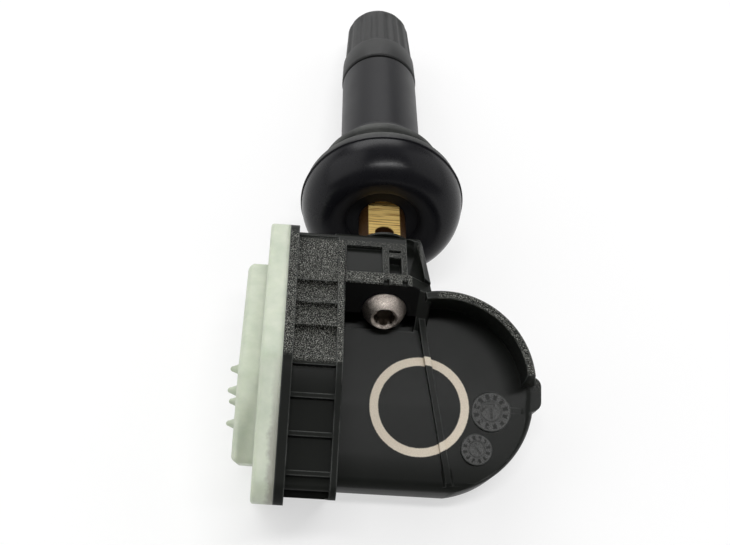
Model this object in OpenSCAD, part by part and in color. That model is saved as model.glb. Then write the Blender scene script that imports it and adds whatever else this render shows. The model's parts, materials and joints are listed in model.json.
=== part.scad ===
// Tyre pressure sensor with a snap-in rubber valve, lying at rest on its housing edge and valve cap.
// The stem axis is Y in the valve frame, with zero where the screw head bears on the housing.
// The housing is drawn in its own frame, turned about X from the valve frame by housing_angle.

/* [Rubber valve] */
// Distance from the screw's bearing face to the widest plane of the bulb
bulb_y = 18.4; // [17:0.1:20]
// Largest diameter of the bulb
bulb_d = 19.2; // [17:0.1:21]
// How far the bulb's crown stands in front of its widest plane
bulb_front = 4.6; // [3.6:0.1:6]
// Diameter of the hollow around the brass stem
hollow_d = 8.6; // [7.6:0.1:9.4]
// Depth of that hollow
hollow_depth = 1.6; // [0.8:0.1:2.4]
// Distance from the bulb's widest plane to the middle of the groove
seat_gap = 4; // [3.6:0.1:4.4]
// Diameter of the rim hole that the groove fits
rim_hole_d = 11.3; // [11:0.1:11.7]
// Width of the groove that grips the rim
groove_w = 2.4; // [1.6:0.1:3]
// Diameter of the sealing shoulder beyond the groove
shoulder_d = 15; // [13.5:0.1:16]
// Length of the cone from the shoulder to the barrel
cone_len = 4; // [3:0.1:6]
// Diameter of the rubber barrel at the cone
barrel_d = 10; // [9.6:0.1:11]
// Distance from the bulb's widest plane to the barrel's end
barrel_end = 25.8; // [24:0.2:28]

/* [Brass stem] */
// Diameter of the brass stem where it enters the housing
stem_d = 5.5; // [5:0.1:6]
// Height of the milled flat above the stem axis
flat_h = 2.06; // [1.9:0.02:2.5]
// Diameter of the cross hole that lets the air out
cross_d = 2.2; // [1.4:0.1:2.4]
// Diameter of the air passage along the stem
passage_d = 2.4; // [2:0.1:2.6]
// Outer diameter of the valve thread
thread_d = 7.7; // [7.5:0.05:7.9]
// Length of the thread that stands out of the rubber
thread_len = 8; // [7:0.5:9]

/* [Valve core] */
// Diameter of the core chamber
chamber_d = 4.4; // [4.2:0.05:4.6]
// Diameter of the core nut's thread
nut_d = 5.2; // [5:0.05:5.4]
// Length of the core nut
nut_len = 4; // [3:0.5:5]
// Length of the core barrel
core_len = 9; // [8:0.5:10]
// Diameter of the core pin
pin_d = 0.9; // [0.7:0.05:1.1]
// How far the pin can be pressed in
pin_travel = 1.2; // [0.8:0.1:1.5]

/* [Valve cap] */
// Outer diameter of the cap's skirt
cap_d = 10; // [9.8:0.1:10.6]
// Diameter of the cap at its top
cap_top_d = 8.6; // [8:0.1:9.2]
// Length of the cap's smooth skirt
skirt_len = 4.2; // [3.5:0.1:5.5]
// Length of the cap
cap_len = 14; // [13:0.5:15]
// Thickness of the cap's top
cap_top = 1.6; // [1.2:0.1:2]
// Number of grip flutes around the cap
flutes = 14; // [10:1:18]

/* [Screw] */
// Diameter of the screw head
head_d = 4.8; // [4.4:0.1:5.4]
// Height of the domed screw head
head_h = 2.1; // [1.8:0.1:2.4]
// Diameter of the screw's shank
shank_d = 3; // [2.6:0.1:3.2]
// Length of the screw's shank
shank_len = 7; // [6:0.5:8]

/* [Housing] */
// Angle between the stem axis and the face of the cell lobe
housing_angle = 31; // [26:1:34]
// Height of the hood above the stem axis
hood_h = 4.06; // [3.8:0.02:4.6]
// Distance from the screw's bearing face to the rear of the hood
hood_rear = 8.1; // [7.4:0.1:8.6]
// Distance from the stem axis to the hood's side over the lobe
hood_side = 5; // [4.6:0.05:5.2]
// Depth of the hood below the stem axis
hood_drop = 5.8; // [5.2:0.1:6.2]
// Distance along the hood's top from the bearing face to the bend
bend_y = -12.6; // [-13:0.05:-11.6]
// Front edge of the electronics box along the housing
box_front = -22.1; // [-23:0.1:-21.5]
// How far the front wall leans in towards its foot
front_lean = 2.3; // [1:0.1:3]
// Underside of the electronics box below the stem axis
box_floor = -8.6; // [-9.4:0.1:-8.2]
// Distance from the stem axis to the electronics box
box_x = 4.7; // [4.5:0.1:5]
// Thickness of the rim beside the lobe
rim_t = 0.65; // [0.5:0.05:0.9]
// Width of the ribbed band
band_w = 4.35; // [3.8:0.05:4.6]
// Thickness of the weld flange
flange_t = 1; // [0.8:0.1:1.4]
// How far the flange stands proud of the box
flange_proud = 0.75; // [0.4:0.05:0.9]
// Pitch of the ribs on the band above the bend
rib_pitch = 3.4; // [3:0.1:4.2]
// Thickness of a rib
rib_t = 0.5; // [0.4:0.05:0.8]
// Depth of the pockets between the ribs
pocket_depth = 0.8; // [0.5:0.05:1]

/* [Cell lobe] */
// Radius of the lobe around the cell
lobe_r = 10.9; // [10.8:0.1:11.5]
// Distance of the cell's centre from the stem axis
cell_x = 6.3; // [6.1:0.1:6.5]
// Distance of the cell's centre along the housing
cell_y = -8.3; // [-8.8:0.1:-8.2]
// Height of the lobe's face
face_z = -2.1; // [-2.4:0.05:-1.9]
// Thickness of the lobe's curved wall
wall_t = 0.85; // [0.8:0.05:1.2]
// How far the curved wall leans in towards its top
wall_lean = 1.1; // [0.6:0.1:1.3]
// Height of the curved wall's top
wall_z = 3.5; // [2.5:0.1:3.6]
// Thickness of the fin across the face
fin_t = 0.7; // [0.5:0.05:1]
// Height of the fin at its upper end
fin_h = 1.6; // [0.6:0.1:1.8]

/* [Lid] */
// Thickness of the welded lid
lid_t = 2.15; // [1.8:0.05:2.4]
// How far the lid's plateau stands out
plateau_t = 2.2; // [1.8:0.1:2.4]
// Inset of the plateau from the lid's edge
plateau_inset = 3.8; // [3:0.1:4.5]
// Diameter of the air port
port_d = 1.2; // [0.8:0.1:1.6]
// Height of the pips around the air port
pip_h = 1; // [0.8:0.1:1.4]

/* [Inside] */
// Diameter of the coin cell
cell_d = 20; // [19.6:0.1:20]
// Thickness of the coin cell
cell_t = 3.2; // [2.5:0.1:3.2]
// Side of the pressure chip
chip_w = 7; // [5:0.5:7]
// Length of the receiver coil
coil_len = 7.2; // [5:0.1:7.6]
// Width of the cell's tabs
tab_w = 3; // [2:0.1:3.4]
// Thickness of the circuit board
board_t = 0.8; // [0.6:0.1:1]
// Clearance around pieces that lie in a pocket
clearance = 0.15; // [0.1:0.01:0.15]

/* [Hidden] */
$fn = 96;
eps = 0.01;

// Places along the stem axis
seat_y = bulb_y + seat_gap;
shoulder_y = seat_y + groove_w / 2;
cone_y = shoulder_y + 0.6;
rubber_end_y = bulb_y + barrel_end;
stem_y = 1.9;
stem_end_y = rubber_end_y + thread_len;
cap_y = rubber_end_y + 0.3;
cap_end_y = cap_y + cap_len;
nut_y = stem_end_y - nut_len - 0.6;
barrel_y = nut_y - core_len;
chamber_y = barrel_y - 3.3 - pin_travel;
anchor_y = bulb_y - 2;
hollow_y = bulb_y - bulb_front + hollow_depth;
cross_y = stem_y + 8.7;

// Radii along the stem
running = 0.06;
cap_bore_r = thread_d / 2 + 0.08;
cap_edge_r = 1.6;
cap_seal_t = 1.2;
cap_seal_y = stem_end_y + 0.3;

// Places across the housing, towards the lid
rim_x = -box_x - rim_t;
flange_x = rim_x - band_w;
weld_x = flange_x - flange_t;
lid_x = weld_x - lid_t;
plateau_x = lid_x - plateau_t;

// The housing's outline from the side, as corners [along, up, radius]
function to_housing(y, h) = [y * cos(housing_angle) + h * sin(housing_angle),
    h * cos(housing_angle) - y * sin(housing_angle)];
box_rear = hood_rear - 0.2;
rear_top = to_housing(box_rear, hood_h);
bend = to_housing(bend_y, hood_h);
rear_foot = [(box_rear + box_floor * sin(housing_angle)) / cos(housing_angle), box_floor];
front_foot = [box_front + front_lean, box_floor];
foot_r = 2;
box_corners = [[rear_top[0], rear_top[1], 1.2], [bend[0], bend[1], 2.2], [box_front, bend[1], 1.3],
    [front_foot[0], front_foot[1], foot_r], [rear_foot[0], rear_foot[1], foot_r]];

function unit(v) = v / norm(v);
function flat(c) = [c[0], c[1]];
function bisector(a, b, c) = unit(unit(flat(a) - flat(b)) + unit(flat(c) - flat(b)));
function half_angle(a, b, c) = acos(unit(flat(a) - flat(b)) * unit(flat(c) - flat(b))) / 2;
function turn(a, b, c) = sign((b[0] - a[0]) * (c[1] - b[1]) - (b[1] - a[1]) * (c[0] - b[0]));
function ring(list, i) = list[(i + len(list)) % len(list)];

// A counter-clockwise outline moved inwards by d, with its corner radii following
function inset(list, d) = [for (i = [0 : len(list) - 1])
    let (a = ring(list, i - 1), b = list[i], c = ring(list, i + 1), s = turn(a, b, c),
        p = flat(b) + bisector(a, b, c) * s * d / sin(half_angle(a, b, c)))
    [p[0], p[1], max(b[2] - s * d, 0.1)]];

// Arc points that round the corner b between its neighbours a and c
function corner(a, b, c, steps) =
    let (w = half_angle(a, b, c), u = bisector(a, b, c), m = flat(b) + u * b[2] / sin(w), s = turn(a, b, c),
        mid = atan2(-u[1], -u[0]), half = 90 - w)
    [for (k = [-steps : steps]) let (q = mid + s * half * k / steps) m + b[2] * [cos(q), sin(q)]];
function rounded(list, steps = 4) = [for (i = [0 : len(list) - 1])
    each corner(ring(list, i - 1), list[i], ring(list, i + 1), steps)];

flange_side = inset(box_corners, -flange_proud);

// Rest on a table: the tangent under the flange's foot and the cap's rounded end
foot_corner = [for (i = [2 : 4]) box_corners[i]];
foot = flat(foot_corner[1]) + bisector(foot_corner[0], foot_corner[1], foot_corner[2]) * foot_r
    / sin(half_angle(foot_corner[0], foot_corner[1], foot_corner[2]));
stand_r = foot_r + flange_proud;
foot_y = foot[0] * cos(housing_angle) - foot[1] * sin(housing_angle);
foot_h = foot[0] * sin(housing_angle) + foot[1] * cos(housing_angle);
cap_edge = [cap_end_y - cap_edge_r, -(cap_top_d / 2 - cap_edge_r)];
span = cap_edge - [foot_y, foot_h];
rest_tilt = atan2(span[1], span[0]) - asin((cap_edge_r - stand_r) / norm(span));
face_rise = housing_angle - rest_tilt;

// The cell lobe stands on the same table
lobe_foot_r = 1.5;
lobe_front = cell_y - lobe_r + 0.15;
lobe_foot_y = lobe_front + lobe_foot_r;
face_fall = 0.5;
lobe_floor = foot[1] + ((foot[0] - lobe_foot_y) * sin(face_rise) - stand_r + lobe_foot_r) / cos(face_rise)
    - lobe_foot_r;
cell_z = (face_z + lobe_floor) / 2 - 0.25;
cell_pocket_h = cell_t + 2 * clearance;

// Frames
module at_rest() {
    rotate([-rest_tilt, 0, 0]) translate([0, -seat_y, 0]) children();
}
module in_housing() {
    rotate([housing_angle, 0, 0]) children();
}
// A profile of [radius, distance along the stem] turned about the stem axis
module turned(profile) {
    rotate([-90, 0, 0]) rotate_extrude() polygon(profile);
}
module rod(y0, y1, r) {
    translate([0, y0, 0]) rotate([-90, 0, 0]) cylinder(h = y1 - y0, r = r);
}
// A housing outline given from the side, extruded across the housing from x0 to x1
module across(x0, x1, points) {
    translate([x0, 0, 0]) rotate([90, 0, 90]) linear_extrude(x1 - x0) polygon(points);
}

// Housing
chamber_step = 1.8;
ledge = 0.7;
board_x = weld_x + 1.2;
chamber_end_x = -box_x - 1.3;

module box_shell() {
    across(flange_x - eps, -box_x, rounded(box_corners));
    across(weld_x, flange_x, rounded(flange_side));
}

// The hood over the stem, whose side slopes in towards the rear and whose top edge is chamfered there
hood_front = -0.3;
hood_corner_r = 2;
hood_taper = 1.25;
bar = 0.64;
latch_x = -0.47;
slot_w = 1.35;
slot_x = latch_x + bar;
side_x = slot_x + slot_w + bar;
strip_y = 1.3;
hood_chamfer_x = 3.7;
hood_chamfer_h = hood_h - 1.3;
hood_plan = [[-box_x - 1, hood_front, 0.1], [hood_side, hood_front, 0.3],
    [hood_side - hood_taper, hood_rear, hood_corner_r], [-box_x - 1, hood_rear, 0.1]];

module hood() {
    section = [[-box_x - 1, -hood_drop, 0.1], [hood_side + 0.1, -hood_drop, 2.4],
        [hood_side + 0.1, hood_chamfer_h, 0.3], [hood_chamfer_x, hood_h, 0.3], [-box_x - 1, hood_h, 0.1]];
    profile = [[hood_front - 1, -hood_drop - 1, 0.1], [hood_rear, -hood_drop - 1, 0.1], [hood_rear, hood_h, 1.2],
        [hood_front - 1, hood_h, 0.1]];
    difference() {
        intersection() {
            translate([0, 0, -hood_drop]) linear_extrude(hood_drop + hood_h) polygon(rounded(hood_plan, 6));
            translate([0, hood_rear, 0]) rotate([90, 0, 0]) linear_extrude(hood_rear - hood_front)
                polygon(rounded(section, 5));
            across(-box_x - 2, hood_side + 1, rounded(profile, 5));
        }
        // The top falls away in front of the side pocket
        translate([side_x, hood_front - 1, hood_h]) rotate([0, 28, 0]) cube([5, strip_y - hood_front + 1, 3]);
    }
    rod(hood_rear - eps, hood_rear + 0.3, stem_d / 2 + 1.15);
}

module cell_lobe() {
    top_r = 1.1;
    brow_y = cell_y - 1.6;
    block_x = -box_x - 1;
    profile = [[0, lobe_floor, 0.1], [lobe_r, lobe_floor, lobe_foot_r], [lobe_r, face_z, top_r],
        [0, face_z, 0.1]];
    section = [[lobe_front, lobe_floor, lobe_foot_r], [cell_y + lobe_r + 1, lobe_floor, 0.5],
        [cell_y + lobe_r + 1, face_z, 0.3], [brow_y, face_z, 14], [lobe_front, face_z - face_fall, top_r]];
    // A face that falls away in front of the brow, over a round end and a straight front
    intersection() {
        across(block_x, cell_x + lobe_r + 1, rounded(section, 5));
        union() {
            translate([cell_x, cell_y, 0]) rotate_extrude() polygon(rounded(profile, 5));
            translate([block_x, lobe_front - 1, lobe_floor])
                cube([cell_x - block_x, lobe_r + cell_y - lobe_front - 0.5, face_z - lobe_floor]);
        }
    }
    // The curved wall that stands on the lobe from the hood round to the notch
    top_out = lobe_r - wall_lean;
    top_in = top_out - wall_t;
    base_in = top_in - 0.1 + wall_lean / 2;
    translate([cell_x, cell_y, 0]) rotate([0, 0, 7]) rotate_extrude(angle = 96)
        polygon([[base_in, face_z - 0.5], [lobe_r, face_z - top_r], [lobe_r - 0.1, face_z + 0.6],
            [top_out, wall_z - 0.15], [top_out - 0.15, wall_z], [top_in + 0.1, wall_z], [top_in, wall_z - 0.1],
            [base_in, face_z]]);
}

module side_nub() {
    reach = 1.6;
    translate([cell_x + lobe_r - 0.9, cell_y + 0.4, face_z - 2.2]) linear_extrude(2)
        polygon(rounded([[-1, -2.6, 0.1], [reach, -1.6, 1.1], [reach, 1.6, 1.1], [-1, 2.6, 0.1]], 4));
}

// The fin that crosses the face from the hood to the front edge
fin_from = [3.85, 1.1];
fin_to = [7.9, -18.2];
fin_slope = atan2(fin_to[1] - fin_from[1], fin_to[0] - fin_from[0]);
fin_len = norm(fin_to - fin_from);

module fin() {
    root = 1.2;
    end_h = root - 0.05;
    translate([fin_from[0], fin_from[1], face_z]) rotate([0, 0, fin_slope]) {
        rotate([90, 0, 0]) translate([0, 0, -fin_t / 2]) linear_extrude(fin_t)
            polygon([[0, -root], [fin_len, -root], [fin_len, 0.05], [fin_len * 0.25, fin_h * 0.5],
                [1.6, fin_h], [0, fin_h]]);
        translate([0.5, 0, -root]) cylinder(h = root + fin_h, r = fin_t * 0.7, $fn = 24);
        translate([fin_len - 1.5, 0, -root]) rotate([90, 0, 90]) linear_extrude(1.8)
            polygon(rounded([[-0.75, 0, 0.1], [0.75, 0, 0.1], [0.45, end_h, 0.3], [-0.45, end_h, 0.3]], 3));
    }
}

// Date dials: a raised disc with a ring groove and a raised pointer, as [across, along, radius, turn]
dials = [[6, -1.9, 2.2, 5], [4.5, -6.1, 1.7, 40]];

module date_dial(d) {
    r = d[2];
    translate([cell_x + d[0], cell_y + d[1], face_z - 0.5]) rotate([0, 0, d[3]]) difference() {
        cylinder(h = 0.62, r = r, $fn = 48);
        translate([0, 0, 0.56]) difference() {
            cylinder(h = 1, r = r * 0.55, $fn = 48);
            translate([0, 0, -1]) cylinder(h = 3, r = r * 0.47, $fn = 48);
        }
        translate([-r * 0.06, -r * 0.36, 0.54]) cube([r * 0.12, r * 0.72, 1]);
        translate([-r * 0.2, r * 0.24, 0.54]) cube([r * 0.4, r * 0.12, 1]);
    }
}

// The ribbed band on the two top facets: a shallow channel between rim and flange, with pockets in it
rib_first = -0.2;
rib_drop = 0.12;
step_y = rib_first + 1.5;
bend_rib = 1.1;
upper_pockets = floor((rib_first - bend_y) / rib_pitch);
lower_pitch = rib_pitch + 0.4;
lower_first = bend[0] - lower_pitch * 0.88;
lower_ribs = floor((lower_first - box_front) / lower_pitch) + 1;
front_pocket_h = 3;

module channel(depth) {
    difference() {
        across(flange_x + eps, rim_x, rounded(inset(box_corners, -1)));
        across(flange_x, rim_x + 1, rounded(inset(box_corners, depth)));
    }
}
// The part of the band between two places along the stem, or along the housing, above the stem axis
module slab(y0, y1, z0 = 0) {
    translate([flange_x, y0, z0]) cube([band_w, y1 - y0, bend[1] + 2 - z0]);
}
module band_pockets() {
    for (i = [0 : upper_pockets - 1]) {
        y1 = rib_first - i * rib_pitch - rib_t / 2;
        y0 = (i == upper_pockets - 1 ? bend_y + bend_rib : y1 - rib_pitch + rib_t);
        intersection() {
            in_housing() channel(pocket_depth);
            slab(y0, y1);
        }
    }
    intersection() {
        in_housing() channel(rib_drop + 0.06);
        slab(step_y, box_rear - 1.4);
    }
}
module lower_band_pockets() {
    for (i = [0 : lower_ribs]) {
        y1 = (i == 0 ? bend[0] : lower_first - (i - 1) * lower_pitch) - rib_t / 2;
        y0 = (i == lower_ribs ? box_front - 2 : lower_first - i * lower_pitch + rib_t / 2);
        intersection() {
            channel(pocket_depth);
            slab(y0, y1, bend[1] - front_pocket_h);
        }
    }
    intersection() {
        channel(rib_drop);
        slab(box_front - 2, rear_top[0]);
    }
}

// Window, latch frame and side pocket in the top of the hood
module hood_cuts() {
    crossbar_y = 4;
    crossbar = 0.7;
    window_y = 5.6;
    window_depth = 0.5;
    slot_depth = 1.1;
    notch = 0.7;
    side_depth = 1.5;
    skin = 0.7;
    translate([-box_x + 0.25, strip_y, hood_h - window_depth])
        cube([latch_x + box_x - 0.33, window_y - strip_y, 1]);
    translate([slot_x, strip_y, hood_h - slot_depth]) cube([slot_w, crossbar_y - strip_y, 2]);
    translate([slot_x, crossbar_y + crossbar, hood_h - slot_depth]) cube([slot_w, crossbar * 0.7, 2]);
    for (x = [latch_x, slot_x + slot_w])
        translate([x, hood_front - 0.01, hood_h - 0.6]) cube([bar, notch, 1]);
    intersection() {
        translate([0, 0, hood_h - side_depth]) linear_extrude(side_depth + 1)
            polygon(rounded(inset(hood_plan, skin), 5));
        translate([side_x, strip_y, 0]) cube([10, 10, 10]);
    }
}

module chamber() {
    across(weld_x - 1, board_x + board_t, rounded(inset(flange_side, chamber_step)));
    across(board_x + board_t - eps, chamber_end_x, rounded(inset(flange_side, chamber_step + ledge)));
}

module cell_pocket() {
    r = cell_d / 2 + clearance;
    translate([cell_x, cell_y, cell_z - cell_pocket_h / 2]) cylinder(h = cell_pocket_h, r = r);
    translate([weld_x - 1, cell_y - r, cell_z - cell_pocket_h / 2])
        cube([cell_x - weld_x + 1, 2 * r - 2.6, cell_pocket_h]);
}

// The hollow under the screw head, between the rim and the fin
module screw_pocket() {
    pocket_z = face_z - 1.2;
    pocket_y = -1.8;
    translate([-box_x, pocket_y, pocket_z]) cube([fin_from[0] - 0.3 + box_x, 0.4 - pocket_y, 3]);
}

module housing() {
    color([0.07, 0.075, 0.08]) at_rest() difference() {
        union() {
            in_housing() {
                box_shell();
                cell_lobe();
                side_nub();
                fin();
                for (d = dials) date_dial(d);
            }
            hood();
        }
        in_housing() {
            chamber();
            cell_pocket();
            lower_band_pockets();
            screw_pocket();
        }
        band_pockets();
        hood_cuts();
        rod(-2, stem_y + eps, shank_d / 2 + 0.2);
        rod(-head_h - 4, 0, head_d / 2 + 0.15);
        rod(stem_y, hood_rear + 2, stem_d / 2 + running);
    }
}

// A place inside the box: a share of the way along its floor, and a height
floor_len = rear_foot[0] - front_foot[0];
function inside(share, z) = [front_foot[0] + share * floor_len, z];

// Lid with its hollow plateau, air port and pips
port = inside(0.38, 0.5);
port_wall = 1;

module lid() {
    pip_ring = 2.9;
    pip_tip = 0.3;
    color([0.80, 0.85, 0.77, 0.9]) at_rest() in_housing() {
        difference() {
            union() {
                across(lid_x, weld_x, rounded(flange_side));
                across(plateau_x, lid_x + eps, rounded(inset(flange_side, plateau_inset)));
            }
            across(plateau_x + port_wall, weld_x + 1, rounded(inset(flange_side, plateau_inset + 1)));
            translate([plateau_x - 1, port[0], port[1]]) rotate([0, 90, 0]) cylinder(h = 4, d = port_d, $fn = 32);
        }
        for (q = [0 : 90 : 270])
            translate([plateau_x + eps, port[0] + pip_ring * cos(q), port[1] + pip_ring * sin(q)])
                rotate([0, -90, 0]) {
                    cylinder(h = pip_h - pip_tip, r1 = 0.6, r2 = pip_tip, $fn = 24);
                    translate([0, 0, pip_h - pip_tip]) sphere(r = pip_tip, $fn = 24);
                }
    }
}

module port_filter() {
    color("white") at_rest() in_housing()
        translate([plateau_x + port_wall, port[0], port[1]]) rotate([0, 90, 0]) cylinder(h = 0.3, d = 5, $fn = 48);
}

// Electronics
board_side = inset(flange_side, chamber_step + clearance);
board_back_x = board_x + board_t;
tab_places = [cell_y - 4.6, cell_y + 3.2];

module circuit_board() {
    color([0.05, 0.35, 0.2]) at_rest() in_housing() difference() {
        across(board_x, board_back_x, rounded(board_side));
        for (y = tab_places) translate([board_x - 1, y, cell_z]) rotate([0, 90, 0]) cylinder(h = 3, d = 0.9, $fn = 24);
    }
}

// A block on the board: its place, its size [along, up, out] and the side, -1 towards the lid
module on_board(place, size, side_sign) {
    x0 = side_sign < 0 ? board_x - size[2] : board_back_x;
    y = place[0] - size[0] / 2;
    z = place[1] - size[1] / 2;
    across(x0, x0 + size[2], [[y, z], [y + size[0], z], [y + size[0], z + size[1]], [y, z + size[1]]]);
}

module pressure_chip() {
    color([0.12, 0.12, 0.13]) at_rest() in_housing() difference() {
        on_board(port, [chip_w, chip_w, 1.9], -1);
        translate([board_x - 2.5, port[0], port[1]]) rotate([0, 90, 0]) cylinder(h = 1.1, d = 1.6, $fn = 32);
    }
}

module crystal() {
    color("silver") at_rest() in_housing() on_board(inside(0.16, 2), [3.2, 2.5, 0.8], 1);
}

coil_place = inside(0.7, cell_z + cell_t / 2 + 1.8);

module wake_coil_core() {
    color([0.2, 0.2, 0.21]) at_rest() in_housing() {
        on_board(coil_place, [coil_len - 2, 1.2, 1.6], 1);
        for (s = [-1, 1]) on_board(coil_place + [s * (coil_len / 2 - 0.5), 0], [1, 2.4, 2], 1);
    }
}

module wake_coil_winding() {
    color([0.72, 0.4, 0.2]) at_rest() in_housing() difference() {
        on_board(coil_place, [coil_len - 2, 2, 1.9], 1);
        on_board(coil_place, [coil_len, 1.2, 1.6], 1);
    }
}

module antenna_loop() {
    strip = 0.3;
    lift_z = 5;
    first_y = inside(0.05, 0)[0];
    last_y = inside(0.62, 0)[0];
    color([0.8, 0.75, 0.6]) at_rest() in_housing() difference() {
        across(board_back_x, board_back_x + 1.6, rounded(inset(board_side, ledge + 0.5)));
        across(board_back_x - 1, board_back_x + 3, rounded(inset(board_side, ledge + 0.5 + strip)));
        translate([board_back_x - 1, first_y, lift_z]) cube([2, last_y - first_y, bend[1]]);
        translate([board_back_x - 1, 2 * box_front, 2 * box_floor]) cube([4, -4 * box_front, -2 * box_floor]);
    }
}

module capacitors() {
    color([0.62, 0.52, 0.4]) at_rest() in_housing() {
        for (i = [0 : 3]) on_board(inside(0.12 + i * 0.08, 5.4), [0.8, 1.6, 0.8], 1);
        for (i = [0 : 2]) on_board(inside(0.34 + i * 0.09, -0.6), [1.6, 0.8, 0.8], 1);
    }
}

// Coin cell: can below, cap above, ring seal between them
can_wall = 0.3;
cell_bottom = cell_z - cell_t / 2;
module about_cell(profile) {
    at_rest() in_housing() translate([cell_x, cell_y, cell_bottom]) rotate_extrude() polygon(profile);
}

module cell_can() {
    r = cell_d / 2;
    color("silver") about_cell([[0, 0], [r - 0.4, 0], [r, 0.4], [r, cell_t - 0.5], [r - 0.4, cell_t - 0.2],
        [r - can_wall - 0.2, cell_t - 0.4], [r - can_wall, cell_t - 0.6], [r - can_wall, can_wall + 0.2],
        [0, can_wall + 0.2]]);
}
module cell_gasket() {
    r = cell_d / 2 - can_wall;
    color([0.3, 0.3, 0.32]) about_cell([[r - 0.6, can_wall + 0.2], [r, can_wall + 0.2], [r, cell_t - 0.6],
        [r - 0.5, cell_t - 0.5], [r - 0.6, cell_t - 0.8]]);
}
module cell_top() {
    r = cell_d / 2 - can_wall - 0.6;
    color([0.75, 0.75, 0.77]) about_cell([[0, can_wall + 0.2], [r, can_wall + 0.2], [r, cell_t - 0.8],
        [r - 1, cell_t - 0.3], [r - 1.2, cell_t], [0, cell_t]]);
}

// Tabs welded to the cell, each with a foot against the board
module tab(on_top, y) {
    tab_t = clearance;
    foot_len = 1;
    z0 = on_top ? cell_z + cell_t / 2 : cell_bottom - tab_t;
    translate([board_back_x, y - tab_w / 2, z0]) cube([cell_x - board_back_x - 3, tab_w, tab_t]);
    translate([board_back_x, y - tab_w / 2, on_top ? z0 + tab_t - foot_len : z0]) cube([tab_t, tab_w, foot_len]);
}
module tab_plus() {
    color("silver") at_rest() in_housing() tab(false, tab_places[0]);
}
module tab_minus() {
    color("silver") at_rest() in_housing() tab(true, tab_places[1]);
}

// Screw with a domed head and a six-lobed recess
module screw() {
    lobe_d = 0.75;
    recess_r = 1.2;
    recess_y = -head_h + 1.3;
    dome_r = (pow(head_d / 2 - 0.1, 2) + pow(head_h - 0.4, 2)) / (2 * (head_h - 0.4));
    color([0.6, 0.56, 0.53]) at_rest() difference() {
        union() {
            intersection() {
                rod(-head_h, 0, head_d / 2);
                translate([0, dome_r - head_h, 0]) sphere(r = dome_r);
            }
            rod(-eps, shank_len, shank_d / 2);
        }
        rod(-head_h - 1, recess_y, recess_r - lobe_d / 4);
        for (q = [0 : 60 : 300]) rotate([0, q, 0]) translate([recess_r - lobe_d / 4, 0, 0])
            rod(-head_h - 1, recess_y, lobe_d / 2, $fn = 24);
    }
}

module brass_stem() {
    r = stem_d / 2;
    neck_r = r + 0.35;
    t = thread_d / 2;
    color([0.8, 0.6, 0.22]) at_rest() difference() {
        turned([[0, stem_y], [r, stem_y], [r, anchor_y], [r + 1.3, anchor_y + 0.4], [r + 1.3, anchor_y + 2],
            [neck_r, anchor_y + 2.4], [neck_r, cone_y + 2], [t - 0.2, cone_y + 3], [t - 0.2, rubber_end_y - 1],
            [t, rubber_end_y - 0.8], [t, stem_end_y - 0.6], [t - 0.6, stem_end_y], [0, stem_end_y]]);
        // Flats milled on the top and bottom, with the cross hole through them
        for (s = [0, 180]) rotate([0, s, 0]) translate([-r - 1, stem_y + 5, flat_h])
            cube([2 * r + 2, hollow_y - stem_y - 5.1, 2]);
        translate([0, cross_y, -r - 1]) cylinder(h = 2 * r + 2, d = cross_d, $fn = 32);
        // Blind screw hole, air passage and core chamber
        rod(stem_y - 1, shank_len + 0.4, shank_d / 2 + running);
        rod(shank_len + 1.6, chamber_y + eps, passage_d / 2);
        turned([[0, chamber_y], [passage_d / 2, chamber_y], [chamber_d / 2 - 0.3, chamber_y + 1],
            [chamber_d / 2 - 0.3, barrel_y + 4], [chamber_d / 2, barrel_y + 5.5], [chamber_d / 2, nut_y - 0.4],
            [nut_d / 2 + running, nut_y - 0.2], [nut_d / 2 + running, stem_end_y + 1], [0, stem_end_y + 1]]);
    }
}

module rubber_valve() {
    R = bulb_d / 2;
    crown_y = bulb_y - bulb_front;
    crown_r = 6.3;
    barrel_r = barrel_d / 2;
    lip = hollow_d / 2;
    arc_steps = 10;
    back = seat_y - groove_w / 2 - 0.9;
    front_arc = [for (k = [0 : arc_steps]) let (q = 90 * k / arc_steps)
        [crown_r + (R - crown_r) * sin(q), bulb_y - bulb_front * cos(q)]];
    inner_arc = [for (k = [0 : 5]) let (q = 90 * k / 5)
        [lip + (crown_r - lip) * (1 - cos(q)), crown_y + hollow_depth * 0.9 * (1 - sin(q))]];
    profile = concat(
        [[2, crown_y + hollow_depth], [lip, crown_y + hollow_depth]],
        inner_arc, front_arc,
        [[R + 0.15, bulb_y + 0.1], [R + 0.15, bulb_y + 0.35], [R, bulb_y + 0.45], [R - 0.25, back - 0.1],
            [rim_hole_d / 2 + 0.8, seat_y - groove_w / 2], [rim_hole_d / 2, seat_y - groove_w / 2 + 0.3],
            [rim_hole_d / 2, shoulder_y - 0.2], [shoulder_d / 2, shoulder_y + 0.2], [shoulder_d / 2, cone_y],
            [barrel_r + 0.5, cone_y + cone_len - 0.6], [barrel_r, cone_y + cone_len],
            [barrel_r - 0.1, rubber_end_y - 0.3], [barrel_r - 0.4, rubber_end_y], [2, rubber_end_y]]);
    stem_r = stem_d / 2;
    neck_r = stem_r + 0.35;
    t = thread_d / 2;
    color([0.05, 0.05, 0.055]) at_rest() difference() {
        turned(profile);
        turned([[0, crown_y - 1], [stem_r, crown_y - 1], [stem_r, anchor_y], [stem_r + 1.3, anchor_y + 0.4],
            [stem_r + 1.3, anchor_y + 2], [neck_r, anchor_y + 2.4], [neck_r, cone_y + 2], [t - 0.2, cone_y + 3],
            [t - 0.2, rubber_end_y - 1], [t, rubber_end_y - 0.8], [t, rubber_end_y + 1], [0, rubber_end_y + 1]]);
    }
}

// Valve core
core_bore_r = pin_d / 2 + 0.5;
core_bottom_r = chamber_d / 2 - 0.55;

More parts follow.
